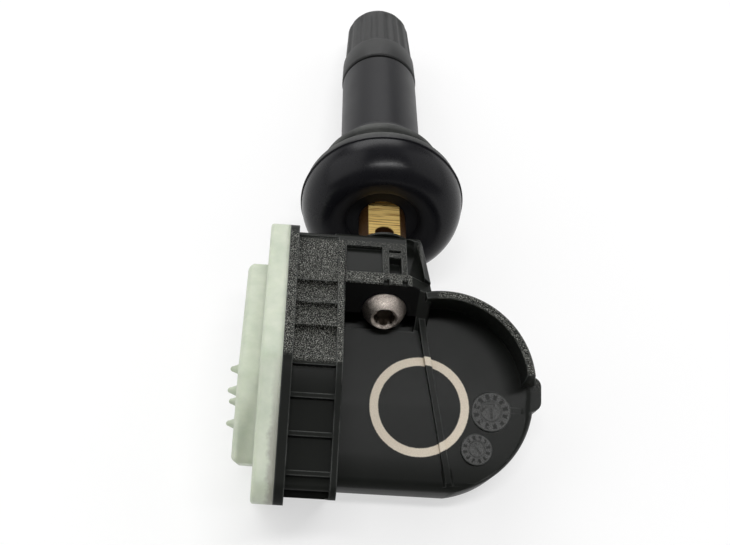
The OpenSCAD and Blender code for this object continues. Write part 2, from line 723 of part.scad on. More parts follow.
module core_nut() {
    color([0.82, 0.64, 0.3]) at_rest() difference() {
        rod(nut_y, nut_y + nut_len, nut_d / 2);
        rod(nut_y - 1, nut_y + nut_len + 1, pin_d / 2 + 0.35);
        translate([-nut_d, nut_y + nut_len - 1, -pin_d / 2 - 0.35]) cube([2 * nut_d, 2, pin_d + 0.7]);
    }
}
module core_barrel() {
    w = chamber_d / 2;
    b = core_bottom_r;
    seat = barrel_y + 4.4;
    color([0.85, 0.68, 0.35]) at_rest() difference() {
        turned([[0, barrel_y], [b, barrel_y], [b, seat], [w - 0.6, seat + 0.3], [w - 0.6, seat + 2.2],
            [w - 0.2, seat + 2.5], [w - 0.2, nut_y], [0, nut_y]]);
        turned([[0, barrel_y - 1], [pin_d / 2 + 0.25, barrel_y - 1], [pin_d / 2 + 0.25, barrel_y + 0.8],
            [core_bore_r, barrel_y + 0.8], [core_bore_r, nut_y + 1], [0, nut_y + 1]]);
    }
}
module core_gasket() {
    w = chamber_d / 2;
    seat = barrel_y + 4.4;
    color([0.8, 0.15, 0.1]) at_rest()
        turned([[w - 0.6, seat + 0.4], [w - 0.4, seat + 0.4], [w - 0.05, seat + 1.2], [w - 0.05, seat + 2.1],
            [w - 0.6, seat + 2.1]]);
}
module core_pin() {
    color([0.85, 0.66, 0.32]) at_rest() {
        rod(barrel_y - 2.4, nut_y + nut_len + 0.3, pin_d / 2);
        rod(nut_y + nut_len - 0.9, nut_y + nut_len + 0.3, pin_d / 2 + 0.2);
        rod(spring_y1, spring_y1 + 0.4, core_bore_r - 0.12);
    }
}
module core_seal() {
    color([0.1, 0.1, 0.11]) at_rest() difference() {
        turned([[0, barrel_y - 1.6], [core_bottom_r - 0.3, barrel_y - 1.6], [core_bottom_r, barrel_y - 1.2],
            [core_bottom_r, barrel_y - 0.02], [0, barrel_y - 0.02]]);
        rod(barrel_y - 3, barrel_y + 1, pin_d / 2);
    }
}

// The spring is a wire swept along a helix
spring_turns = 5;
spring_wire = 0.26;
spring_r = core_bore_r - spring_wire / 2 - 0.06;
spring_y0 = barrel_y + 0.8;
spring_y1 = spring_y0 + 4.2;
ring_steps = 16;
wire_sides = 6;
function helix(i) = let (n = spring_turns * ring_steps, q = 360 * i / ring_steps)
    [spring_r * cos(q), spring_y0 + spring_wire / 2 + (spring_y1 - spring_y0 - spring_wire) * i / n,
        spring_r * sin(q)];
function wire_ring(i) = let (q = 360 * i / ring_steps)
    [for (k = [0 : wire_sides - 1]) let (w = 360 * k / wire_sides)
        helix(i) + spring_wire / 2 * [cos(w) * cos(q), sin(w), cos(w) * sin(q)]];

module core_spring() {
    n = spring_turns * ring_steps;
    points = [for (i = [0 : n]) each wire_ring(i)];
    sides = [for (i = [0 : n - 1], k = [0 : wire_sides - 1]) let (m = (k + 1) % wire_sides)
        [i * wire_sides + k, i * wire_sides + m, (i + 1) * wire_sides + m, (i + 1) * wire_sides + k]];
    start = [for (k = [wire_sides - 1 : -1 : 0]) k];
    end = [for (k = [0 : wire_sides - 1]) n * wire_sides + k];
    color("silver") at_rest() polyhedron(points, concat([start], sides, [end]));
}

// Cap with a smooth skirt and a fluted grip
module valve_cap() {
    grip_y = cap_y + skirt_len;
    flute_r = 0.75;
    flute_depth = 0.3;
    R = cap_d / 2;
    T = cap_top_d / 2;
    edge = [for (k = [0 : 6]) let (q = 90 * k / 6)
        [T - cap_edge_r + cap_edge_r * cos(q), cap_end_y - cap_edge_r + cap_edge_r * sin(q)]];
    inner_y = cap_end_y - cap_top;
    color([0.09, 0.09, 0.095]) at_rest() difference() {
        turned(concat([[0, cap_y], [R - 0.2, cap_y], [R, cap_y + 0.3], [R - 0.15, grip_y], [R - 0.3, grip_y + 0.4]],
            edge, [[0, cap_end_y]]));
        turned([[0, cap_y - 1], [cap_bore_r + 0.3, cap_y - 1], [cap_bore_r, cap_y + 0.6],
            [cap_bore_r, cap_seal_y + cap_seal_t], [cap_bore_r - 1.6, cap_seal_y + cap_seal_t],
            [cap_bore_r - 2, inner_y], [0, inner_y]]);
        for (i = [0 : flutes - 1]) rotate([0, 360 * i / flutes, 0])
            translate([R + flute_r - 0.3 - flute_depth, grip_y + 0.4, 0]) rotate([-90, 0, 0])
                rotate([0, -atan((R - T) / cap_len), 0]) cylinder(h = cap_len, r = flute_r, $fn = 24);
    }
}

module cap_seal() {
    color([0.12, 0.12, 0.12]) at_rest() difference() {
        rod(cap_seal_y, cap_seal_y + cap_seal_t - 0.05, cap_bore_r - 0.1);
        rod(cap_seal_y - 1, cap_seal_y + cap_seal_t + 1, 1.2);
    }
}

housing();
lid();
port_filter();
circuit_board();
pressure_chip();
crystal();
wake_coil_core();
wake_coil_winding();
antenna_loop();
capacitors();
cell_can();
cell_top();
cell_gasket();
tab_plus();
tab_minus();
screw();
brass_stem();
rubber_valve();
core_nut();
core_barrel();
core_gasket();
core_pin();
core_seal();
core_spring();
valve_cap();
cap_seal();
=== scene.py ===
# %% [markdown]
# A tyre pressure sensor on a snap-in rubber valve, dressed for a close studio picture.
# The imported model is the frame: it says where every piece sits, and this lesson adds the finishes.
# Everything is in metres, so a helper turns millimetres along the valve into places in the frame.

# %% Load the frame
import json

import bmesh
import bpy
import numpy as np
from mathutils import Matrix, Vector


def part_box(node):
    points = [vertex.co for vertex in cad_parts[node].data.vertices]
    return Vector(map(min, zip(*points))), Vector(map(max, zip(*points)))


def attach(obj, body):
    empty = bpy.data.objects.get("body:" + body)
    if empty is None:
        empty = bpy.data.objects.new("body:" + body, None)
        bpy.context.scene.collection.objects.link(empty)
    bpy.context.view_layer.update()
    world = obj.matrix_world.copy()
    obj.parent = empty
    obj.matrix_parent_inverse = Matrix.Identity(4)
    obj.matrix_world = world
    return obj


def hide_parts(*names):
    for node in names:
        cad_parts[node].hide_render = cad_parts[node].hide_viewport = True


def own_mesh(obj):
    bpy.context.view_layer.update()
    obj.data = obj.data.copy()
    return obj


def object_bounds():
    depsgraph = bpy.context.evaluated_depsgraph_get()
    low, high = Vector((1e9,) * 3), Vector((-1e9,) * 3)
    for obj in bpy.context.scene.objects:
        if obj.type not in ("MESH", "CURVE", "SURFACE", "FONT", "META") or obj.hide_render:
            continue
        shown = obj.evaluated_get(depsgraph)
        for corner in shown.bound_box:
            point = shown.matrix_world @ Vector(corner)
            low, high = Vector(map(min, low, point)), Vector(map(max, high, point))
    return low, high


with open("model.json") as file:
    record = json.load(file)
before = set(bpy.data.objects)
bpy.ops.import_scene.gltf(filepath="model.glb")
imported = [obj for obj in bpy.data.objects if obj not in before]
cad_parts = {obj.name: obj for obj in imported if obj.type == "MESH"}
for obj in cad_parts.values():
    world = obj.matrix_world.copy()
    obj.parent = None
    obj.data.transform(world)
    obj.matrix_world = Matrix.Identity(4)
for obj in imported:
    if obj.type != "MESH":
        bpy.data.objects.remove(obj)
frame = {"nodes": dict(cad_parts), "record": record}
cad_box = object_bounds()

# %% [markdown]
# The valve's stem is the natural axis of this object. Its direction is stated by the mount in the
# groove that grips the rim, so the tilt at which the sensor rests on the table is read from there.
# The housing is turned about X from the stem, so it gets a second set of axes.

# %% Axes of the valve and of the housing
MM = 0.001
BEARING_TO_SEAT = 22.4
HOUSING_ANGLE = np.radians(31.0)

seat = next(m for m in frame["record"]["mounts"] if m["name"] == "rim_seat")
ACROSS = np.array([1.0, 0.0, 0.0])
ALONG = np.array(seat["axis"]) / np.linalg.norm(seat["axis"])
OUT = np.cross(ACROSS, ALONG)


def from_valve(points):
    """Millimetres across, along and out from the stem, zero at the screw's seat, to metres in the frame."""
    p = np.asarray(points, float)
    along = (p[..., 1:2] - BEARING_TO_SEAT) * ALONG
    return (p[..., 0:1] * ACROSS + along + p[..., 2:3] * OUT) * MM


def from_housing(points):
    """Millimetres in the housing's axes: the valve's, turned about X by the housing angle."""
    p = np.asarray(points, float)
    c, s = np.cos(HOUSING_ANGLE), np.sin(HOUSING_ANGLE)
    y = p[..., 1] * c - p[..., 2] * s
    z = p[..., 1] * s + p[..., 2] * c
    return from_valve(np.stack([p[..., 0], y, z], -1))


HOUSING_ALONG = from_housing([0, 1, 0]) / MM - from_housing([0, 0, 0]) / MM
HOUSING_OUT = from_housing([0, 0, 1]) / MM - from_housing([0, 0, 0]) / MM
SCREW_SEAT = from_valve([0, 0, 0]) / MM
lean = float(np.degrees(-np.arcsin(ALONG[2])))
print("the stem leans down towards the cap by", round(lean, 2), "degrees")

# %% [markdown]
# A turned piece is a profile carried round the stem. The profile has few corners, each with its own
# fillet, and the grid of points is worked out as one array. Closed grids join their last row to
# their first, so a hollow piece such as the rubber has no open edge.


# %% Surfaces from grids
def fillet(corners, steps=6):
    """Rounds each corner (radius, along, fillet) of a closed profile by an arc tangent to its two sides."""
    c = np.array(corners, float)
    p, r = c[:, :2], c[:, 2]
    back = np.roll(p, 1, 0) - p
    ahead = np.roll(p, -1, 0) - p
    a = back / np.linalg.norm(back, axis=1, keepdims=True)
    b = ahead / np.linalg.norm(ahead, axis=1, keepdims=True)
    half = np.arccos(np.clip((a * b).sum(1), -1, 1)) / 2
    middle = (a + b) / np.maximum(np.linalg.norm(a + b, axis=1, keepdims=True), 1e-9)
    centre = p + middle * (r / np.sin(half))[:, None]
    side = np.sign(back[:, 0] * ahead[:, 1] - back[:, 1] * ahead[:, 0])
    start = np.arctan2(-middle[:, 1], -middle[:, 0])
    sweep = (np.pi / 2 - half) * -side
    t = np.linspace(-1, 1, steps)
    angle = start[:, None] + sweep[:, None] * t
    arc = centre[:, None, :] + r[:, None, None] * np.stack([np.cos(angle), np.sin(angle)], -1)
    return arc.reshape(-1, 2)


def mesh_piece(name, points, loop_rows=True, sharp=35.0):
    """A mesh from a grid of points: columns wrap round, and rows wrap or end in a flat face."""
    rows, cols = points.shape[:2]
    index = np.arange(rows * cols).reshape(rows, cols)
    last = rows if loop_rows else rows - 1
    r0, r1 = index[:last], np.roll(index, -1, 0)[:last]
    quads = np.stack([r0, np.roll(r0, -1, 1), np.roll(r1, -1, 1), r1], -1).reshape(-1, 4)
    faces = quads.tolist()
    if not loop_rows:
        faces += [index[0][::-1].tolist(), index[-1].tolist()]
    mesh = bpy.data.meshes.new(name)
    mesh.from_pydata(points.reshape(-1, 3).tolist(), [], faces)
    return finish_mesh(name, mesh, sharp)


def finish_mesh(name, mesh, sharp):
    """Merges doubles, turns faces outwards, smooths all but the sharp edges and links the object."""
    work = bmesh.new()
    work.from_mesh(mesh)
    bmesh.ops.remove_doubles(work, verts=work.verts, dist=1e-7)
    bmesh.ops.recalc_face_normals(work, faces=work.faces)
    if work.calc_volume(signed=True) < 0:
        bmesh.ops.reverse_faces(work, faces=work.faces)
    work.to_mesh(mesh)
    work.free()
    mesh.shade_smooth()
    mesh.set_sharp_from_angle(angle=np.radians(sharp))
    piece = bpy.data.objects.new(name, mesh)
    bpy.context.scene.collection.objects.link(piece)
    return piece


def turned(name, profile, round_steps=160, radius_at=None, loop_rows=True):
    """Carries a profile of (radius, along) round the stem; radius_at may reshape the radius by angle."""
    angle = np.linspace(0, 2 * np.pi, round_steps, endpoint=False)
    radius = np.repeat(profile[:, 0:1], round_steps, 1)
    along = np.repeat(profile[:, 1:2], round_steps, 1)
    if radius_at is not None:
        radius = radius_at(radius, along, angle[None, :])
    points = np.stack([radius * np.cos(angle), along, radius * np.sin(angle)], -1)
    return mesh_piece(name, from_valve(points), loop_rows)


def copy_of(node, name, sharp=20.0, weighted=True):
    """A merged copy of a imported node. Normals weighted by area keep flat faces flat beside fillets."""
    mesh = frame["nodes"][node].data.copy()
    mesh.name = name
    work = bmesh.new()
    work.from_mesh(mesh)
    bmesh.ops.remove_doubles(work, verts=work.verts, dist=1e-6)
    bmesh.ops.dissolve_limit(work, angle_limit=np.radians(0.3), verts=work.verts, edges=work.edges)
    work.to_mesh(mesh)
    work.free()
    mesh.shade_smooth()
    mesh.set_sharp_from_angle(angle=np.radians(sharp))
    piece = bpy.data.objects.new(name, mesh)
    bpy.context.scene.collection.objects.link(piece)
    if weighted:
        flat = piece.modifiers.new("flat_faces", "WEIGHTED_NORMAL")
        flat.keep_sharp = True
        flat.weight = 90
    return piece


# %% [markdown]
# Shader maths reads better as Python than as a web of boxes. A small class wraps a socket and
# overloads the operators, so `1 - mask` adds the Math node it stands for. Every other node comes
# from one method, which sets the node's own settings first and its sockets after.


# %% A small language for shader nodes
class Wire:
    """One output socket that takes part in Python arithmetic."""

    def __init__(self, finish, socket):
        self.finish = finish
        self.socket = socket

    def maths(self, operation, *terms):
        """A Math node on terms that are wires or numbers."""
        return self.finish.node("Math", {"operation": operation}, *terms)

    def __add__(self, other):
        return self.maths("ADD", self, other)

    def __radd__(self, other):
        return self.maths("ADD", other, self)

    def __sub__(self, other):
        return self.maths("SUBTRACT", self, other)

    def __rsub__(self, other):
        return self.maths("SUBTRACT", other, self)

    def __mul__(self, other):
        return self.maths("MULTIPLY", self, other)

    def __rmul__(self, other):
        return self.maths("MULTIPLY", other, self)

    def __truediv__(self, other):
        return self.maths("DIVIDE", self, other)

    def above(self, edge, soft):
        """0 below the edge and 1 above it, over a soft width."""
        ramp = (self - edge) / soft + 0.5
        return ramp.maths("MINIMUM", ramp.maths("MAXIMUM", ramp, 0.0), 1.0)

    def between(self, low, high, soft):
        """1 from low to high and 0 outside, with soft edges."""
        return self.above(low, soft) * (1 - self.above(high, soft))

    def power(self, exponent):
        """The value raised to an exponent."""
        return self.maths("POWER", self, exponent)


class Finish:
    """A material built from nodes, with its pattern coordinates in millimetres."""

    def __init__(self, name):
        self.material = bpy.data.materials.new(name)
        self.material.use_nodes = True
        self.tree = self.material.node_tree
        self.tree.nodes.clear()
        self.output = self.tree.nodes.new("ShaderNodeOutputMaterial")

    def node(self, kind, settings=None, *values, at=None, out=0, **named):
        """A node of one kind. Its settings come first, then sockets by order, by number or by name."""
        made = self.tree.nodes.new("ShaderNode" + kind)
        for key, value in (settings or {}).items():
            setattr(made, key, value)
        sockets = list(enumerate(values)) + list((at or {}).items())
        sockets += [(key.replace("_", " "), value) for key, value in named.items()]
        for key, value in sockets:
            if isinstance(value, Wire):
                self.tree.links.new(value.socket, made.inputs[key])
            else:
                made.inputs[key].default_value = value
        return Wire(self, made.outputs[out])

    def place(self):
        """Object coordinates in millimetres."""
        spot = self.node("TexCoord", out="Object")
        return self.node("VectorMath", {"operation": "SCALE"}, spot, Scale=1 / MM)

    def dot(self, first, second):
        """The dot product of two vectors."""
        return self.node("VectorMath", {"operation": "DOT_PRODUCT"}, first, second, out="Value")

    def along(self, place, axis, origin):
        """How far a place lies along an axis from an origin, in millimetres."""
        offset = self.node("VectorMath", {"operation": "SUBTRACT"}, place, tuple(origin))
        return self.dot(offset, tuple(axis))

    def noise(self, place, size, detail=3.0, rough=0.55):
        """Noise whose features are about size millimetres across."""
        return self.node("TexNoise", None, Vector=place, Scale=1.0 / size, Detail=detail, Roughness=rough)

    def blend(self, factor, first, second):
        """A colour between two colours. A Mix node has sockets of each kind, picked here by number."""
        first, second = (c if isinstance(c, Wire) else (*c, 1.0) for c in (first, second))
        return self.node("Mix", {"data_type": "RGBA"}, at={0: factor, 6: first, 7: second}, out=2)

    def flatten(self, factor, normal):
        """A normal that turns into the face's own plain normal where the factor is 1."""
        plain = self.node("NewGeometry", out="True Normal")
        return self.node("Mix", {"data_type": "VECTOR"}, at={0: factor, 4: normal, 5: plain}, out=1)

    def bump(self, height, depth, strength=1.0, normal=None):
        """A bump whose height of 1 stands depth millimetres proud."""
        extra = {"Normal": normal} if normal is not None else {}
        return self.node("Bump", None, Height=height, Distance=depth * MM, Strength=strength, **extra)

    def soft_edges(self, radius):
        """The normal of edges rounded by a radius in millimetres."""
        return self.node("Bevel", {"samples": 6}, Radius=radius * MM)

    def edges(self, radius):
        """1 on outer edges: the rounded normal turns away from the plain one where little is in the way."""
        plain = self.node("NewGeometry", out="Normal")
        agree = self.dot(self.soft_edges(radius), plain)
        open_sky = self.node("AmbientOcclusion", {"samples": 4}, Distance=3 * radius * MM, out="AO")
        return (1 - agree).above(0.05, 0.06) * open_sky.above(0.72, 0.2)

    def seen(self):
        """1 for rays from the camera, from a mirror or through a clear piece, and 0 for light."""
        camera, glossy, clear = (
            self.node("LightPath", out=f"Is {kind} Ray") for kind in ("Camera", "Glossy", "Transmission"))
        return camera + glossy + clear

    def show(self, shader):
        """Joins a shader to the output and gives the material."""
        self.tree.links.new(shader.socket, self.output.inputs["Surface"])
        return self.material

    def surface(self, **sockets):
        """The one shader of the finish."""
        return self.show(self.node("BsdfPrincipled", None, **sockets))


def wear(piece, material, body=None):
    """Gives a piece its only material and, if new, the body it rides on."""
    worn = piece.data.materials
    if body is None:
        for i in range(len(worn)):
            worn[i] = material
        if not worn:
            worn.append(material)
        return piece
    worn.clear()
    worn.append(material)
    piece.data.polygons.foreach_set("material_index", [0] * len(piece.data.polygons))
    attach(piece, body)
    return piece


# %% [markdown]
# The housing is glass-filled nylon. The facets that face the sky, above the bend in the ribbed band,
# carry a coarse spark-eroded grain with its glitter painted in as pale specks; the lower faces are smooth,
# dull and darker.
# A mould leaves no knife edges, so the shading rounds every edge by a tenth of a millimetre.
# The printed ring is a field of pale colour on the face, and it crosses the fin as the real print does.
# Each date dial is a grainy disc with a wheel of dark marks, drawn from an angle and a radius.
# A mask says where each of these lies, so the places come first, measured from the screw's seat.

# %% Places on the housing, in millimetres
RING_CENTRE = (4.47, -10.09)
RING_INNER = 4.5
RING_OUTER = 5.42
PRINT_DEPTH = (-3.4, 0.4)
FACE_OUT = -2.1
FACE_LEFT = 3.0
BEND_ALONG = -12.3
BAND_END = -13.2
GRAIN_LEVEL = 2.6
GRAIN_END = 6.4
HOOD_LEFT = -4.7
HOOD_REAR = -3.0
HOOD_TOP = 4.06
STRIP = (-0.5, 1.28)
POCKET_FLOOR = -2.6
POCKET_RIGHT = 3.5
LOBE_CENTRE = (6.3, -8.3)
RIM_IN = 8.8
RIM_OUT = 9.6
RIM_TOP = 3.25
RIM_LEFT = 5.5
RIM_FRONT = -7.4
DIALS = ((12.3, -10.2, 2.2), (10.8, -14.4, 1.7))
DIAL_MARKS = 12


def polar(across, along, centre):
    """Distance and angle of a place from a centre in the plane of the face."""
    dx = across - centre[0]
    dy = along - centre[1]
    return (dx * dx + dy * dy).power(0.5), dx.maths("ARCTAN2", dy, dx)


def hood_masks(across, stem_along, stem_out):
    """The hood over the screw, its flat top, and the pocket in it that holds the screw's head, where shade
    is painted.
    """
    hood = across.above(HOOD_LEFT, 0.1) * stem_along.above(HOOD_REAR, 0.2)
    top = stem_out.above(HOOD_TOP - 0.25, 0.12)
    pocket_shade = hood * (1 - stem_along.above(-0.1, 0.1)) * stem_out.above(POCKET_FLOOR, 0.3) * (1 - top)
    return hood, top, pocket_shade * (1 - across.above(POCKET_RIGHT, 0.1))


def rim_mask(across, along, out, lobe):
    """The lobe's raised rim: full grain on its top, and less on its outer wall."""
    rim = lobe.above(RIM_OUT, 0.1) * 0.3 + lobe.above(RIM_IN, 0.1) * out.above(RIM_TOP, 0.15)
    return rim * across.above(RIM_LEFT, 0.5) * along.above(RIM_FRONT, 1.0)


def lay_dials(f, shade, place, across, along, face, coarse):
    """Lays the dials on a shade. Each is a grainy disc, and a triangle wave of the angle cuts its marks."""
    for dial_x, dial_y, dial_r in DIALS:
        radius, angle = polar(across, along, (dial_x, dial_y))
        disc = (1 - radius.above(dial_r * 0.95, 0.08)) * face
        wheel = angle * (DIAL_MARKS / (2 * np.pi))
        marks = wheel.maths("PINGPONG", wheel, 0.5).above(0.26, 0.14)
        marks = marks * radius.between(dial_r * 0.6, dial_r * 0.88, 0.08)
        marks = marks * f.noise(place, 0.3, 1.0).above(0.4, 0.1)
        shade = f.blend(disc * (1 - marks) * coarse.above(0.45, 0.4), shade, (0.105, 0.105, 0.103))
    return shade


# %% [markdown]
# The finish itself starts from a black that is slightly mottled. On top of it come painted shade in the
# screw's pocket, painted glints on the grain, painted highlights along the outer edges, the dials and the
# ring.
# The grain also lifts the surface, and the flat of the face takes its plain normal so that its wide
# triangles don't show.


# %% Black glass-filled nylon with its printed ring
def nylon():
    """Grain on the band behind its bend, on the hood's front strip and bars, and on the lobe's rim, with
    its glints painted in.
    """
    f = Finish("black_nylon")
    place = f.place()
    across = f.along(place, ACROSS, SCREW_SEAT)
    along = f.along(place, HOUSING_ALONG, SCREW_SEAT)
    out = f.along(place, HOUSING_OUT, SCREW_SEAT)
    stem_along = f.along(place, ALONG, SCREW_SEAT)
    stem_out = f.along(place, OUT, SCREW_SEAT)
    coarse = f.noise(place, 0.095, 1.0, 0.6)
    fine = f.noise(place, 0.11, 3.0, 0.6)
    mottle = f.noise(place, 3.0, 3.0)
    face = out.between(*PRINT_DEPTH, 0.1)
    hood, hood_top, pocket_shade = hood_masks(across, stem_along, stem_out)
    lobe, _ = polar(across, along, LOBE_CENTRE)

    upper = stem_along.between(BEND_ALONG, GRAIN_END, 0.6) * stem_out.above(GRAIN_LEVEL, 0.4) * (1 - hood)
    strip = stem_along.between(*STRIP, 0.15) * hood * hood_top
    frame_bars = stem_along.between(STRIP[1], GRAIN_END, 0.3) * hood * hood_top
    grain = upper + strip + frame_bars * 0.4 + rim_mask(across, along, out, lobe)
    # Painted highlight: pale specks on the grain stand in for light glittering off it.
    painted_glints = coarse.above(0.6, 0.1) * grain
    # Painted highlight: pale lines along the outer edges, broken up by the mottle.
    painted_edge_highlight = f.edges(0.22) * (1 - pocket_shade) * mottle.above(0.40, 0.25) * 0.8
    radius, _ = polar(across, along, RING_CENTRE)
    ring = (radius + fine * 0.14).between(RING_INNER + 0.07, RING_OUTER + 0.07, 0.08) * face

    shade = f.blend(mottle, (0.006, 0.0068, 0.0058), (0.012, 0.0132, 0.0115))
    # Painted shade: the pocket round the screw's head is coloured near black.
    shade = f.blend(pocket_shade, shade, (0.003, 0.003, 0.003))
    shade = f.blend(painted_glints, shade, (0.33, 0.33, 0.30))
    shade = f.blend(painted_edge_highlight, shade, (0.10, 0.105, 0.10))
    shade = lay_dials(f, shade, place, across, along, face, coarse)
    shade = f.blend(ring, shade, f.blend(coarse, (0.62, 0.54, 0.43), (0.94, 0.85, 0.71)))

    lower = 1 - stem_along.above(BAND_END, 2.6)
    rough = (0.3 + mottle * 0.08 + upper * 0.1 + pocket_shade * 0.4 + lower * 0.28) * (1 - ring) + ring * 0.6
    level = out.between(FACE_OUT - 0.3, FACE_OUT + 0.04, 0.05)
    level = level * (1 - lobe.above(RIM_OUT - 0.1, 0.1)) * across.above(FACE_LEFT, 0.2)
    normal = f.bump(fine * (1 - ring * 0.6), 0.012, 0.7, f.flatten(level, f.soft_edges(0.14)))
    normal = f.bump(coarse * grain, 0.05, 1.0, normal)
    return f.surface(Base_Color=shade, Roughness=rough, Normal=normal, Specular_IOR_Level=0.09)


housing = copy_of("housing", "housing_shell")
wear(housing, nylon(), "sensor")
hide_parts("housing")
print("housing faces", len(housing.data.polygons))

# %% [markdown]
# The lid is natural nylon, welded on by laser, and it is milky rather than clear. Light scatters
# inside it, so it takes a little subsurface colour, and its tint shifts slightly from place to place.
# The rims of its flange and plateau are well rounded, which a bevel on just those edges gives.

# %% Milky nylon
WELD_ACROSS = -10.7
STAIN_END = -12.0


def milk():
    """Cloudy tint, a fine skin, and a stained weld line whose width wanders along the flange."""
    f = Finish("milky_nylon")
    place = f.place()
    across = f.along(place, ACROSS, SCREW_SEAT)
    along = f.along(place, HOUSING_ALONG, SCREW_SEAT)
    cloud = f.noise(place, 2.6, 4.0, 0.6)
    fine = f.noise(place, 0.25, 3.0, 0.6)
    streak = f.noise(place, 1.1, 4.0, 0.65)
    shade = f.blend(cloud.above(0.5, 0.35), (0.467, 0.522, 0.414), (0.57, 0.608, 0.495))
    stain = (across + streak * 1.2).above(WELD_ACROSS - 0.1, 0.5) * (1 - along.above(STAIN_END, 8.0))
    shade = f.blend(stain * 0.7, shade, (0.22, 0.21, 0.18))
    normal = f.bump(fine, 0.03, 0.6, f.soft_edges(0.8))
    return f.surface(
        Base_Color=shade, Roughness=0.38 + fine * 0.14, Normal=normal,
        Subsurface_Weight=0.3, Subsurface_Radius=(0.0012, 0.0014, 0.001), Subsurface_Scale=1.0)


# %% [markdown]
# A bevel needs clean edges to work on. The lid's arcs come as many short edges, and a bevel wider than
# an arc would turn its faces over. So the edges of a rim are picked by their place, their short arcs
# are merged, the coplanar triangles beside them are dissolved, and only then are they rounded.

# %% Milky lid
PLATEAU_ACROSS = -15.05
LID_ACROSS = -12.85
PORT_CLEAR = 4.0
RIM_ANGLE = np.radians(50)


def rim_edges(work, level):
    """The sharp outer edges at one level across the stem, clear of the air port and its pips."""
    port = sum((Vector(c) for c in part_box("port_filter")), Vector()) / 2
    found = []
    for edge in work.edges:
        middle = (edge.verts[0].co + edge.verts[1].co) / 2
        flat = all(abs(v.co.x / MM - level) < 0.02 for v in edge.verts)
        away = (middle - port).yz.length > PORT_CLEAR * MM
        if flat and away and edge.is_manifold and edge.is_convex and edge.calc_face_angle() > RIM_ANGLE:
            found.append(edge)
    return found


def round_rim(piece, level, radius):
    """Rounds the rim at a level. Finer corners are drawn together first, so that it can't fold there."""
    work = bmesh.new()
    work.from_mesh(piece.data)
    corners = list({v for edge in rim_edges(work, level) for v in edge.verts})
    bmesh.ops.remove_doubles(work, verts=corners, dist=radius * MM)
    bmesh.ops.dissolve_limit(work, angle_limit=np.radians(1), verts=work.verts, edges=work.edges)
    rim = rim_edges(work, level)
    bmesh.ops.bevel(work, geom=rim, offset=radius * MM, segments=6, profile=0.5, affect="EDGES",
                    loop_slide=False, clamp_overlap=True)
    work.to_mesh(piece.data)
    work.free()
    piece.data.shade_smooth()
    piece.data.set_sharp_from_angle(angle=np.radians(20))
    return len(rim)


lid = copy_of("lid", "lid_shell")
print("rounded edges", round_rim(lid, PLATEAU_ACROSS, 0.6), round_rim(lid, LID_ACROSS, 0.3))
wear(lid, milk(), "sensor")
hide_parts("lid")

# %% [markdown]
# The valve is one moulding of rubber round the brass stem. The bulb is a fat ring with a hollow for
# the brass, a thin line of flash where the mould halves met, a groove for the rim and a cone that
# pulls through the hole. A single closed profile carried round the stem gives all of it.

# %% Rubber valve
BULB_Y = 18.4
BULB_FRONT = 4.6
BULB_R = 9.6
CROWN_Y = BULB_Y - BULB_FRONT
CROWN_R = 6.3
HOLLOW_R = 4.3
HOLLOW_DEPTH = 1.6
GROOVE_R = 5.65
GROOVE = (21.2, 23.6)
SHOULDER_R = 7.5
BACK_Y = 20.2
BARREL_R = 5.0
CONE_END = 28.2
RUBBER_END = 44.2
BORE_R = 2.78


def quarter(centre, radii, start, end, steps):
    """Points of an ellipse's quarter, from one angle to another in degrees, as (radius, along)."""
    q = np.radians(np.linspace(start, end, steps))
    return np.stack([centre[0] + radii[0] * np.sin(q), centre[1] - radii[1] * np.cos(q)], -1)


def rubber_profile():
    """The bulb's arcs, then the filleted corners of groove, shoulder, cone and barrel, then the bore."""
    lip = quarter((CROWN_R, CROWN_Y + HOLLOW_DEPTH), (CROWN_R - HOLLOW_R, HOLLOW_DEPTH), -90, 0, 14)
    crown = quarter((CROWN_R, BULB_Y), (BULB_R - CROWN_R, BULB_Y - CROWN_Y), 0, 88, 30)
    flash = [(BULB_R, BULB_Y + 0.04), (BULB_R + 0.14, BULB_Y + 0.1), (BULB_R + 0.15, BULB_Y + 0.2),
             (BULB_R + 0.02, BULB_Y + 0.28)]
    rear = fillet([
        (BULB_R - 0.05, BULB_Y + 0.3, 0.01), (BULB_R - 0.25, BACK_Y, 0.5),
        (GROOVE_R + 0.9, GROOVE[0], 0.3), (GROOVE_R, GROOVE[0] + 0.3, 0.3),
        (GROOVE_R, GROOVE[1] - 0.2, 0.25), (SHOULDER_R, GROOVE[1] + 0.2, 0.35),
        (SHOULDER_R, GROOVE[1] + 0.8, 0.25), (BARREL_R + 0.5, CONE_END - 0.6, 1.5),
        (BARREL_R, CONE_END, 2.0), (BARREL_R - 0.1, RUBBER_END - 0.3, 0.1),
        (BARREL_R - 0.4, RUBBER_END, 0.1), (BORE_R + 0.9, RUBBER_END, 0.05)], 6)
    bore = [(BORE_R + 0.35, CONE_END), (BORE_R, BULB_Y), (BORE_R, CROWN_Y + HOLLOW_DEPTH)]
    return np.concatenate([lip, crown, flash, rear, bore])


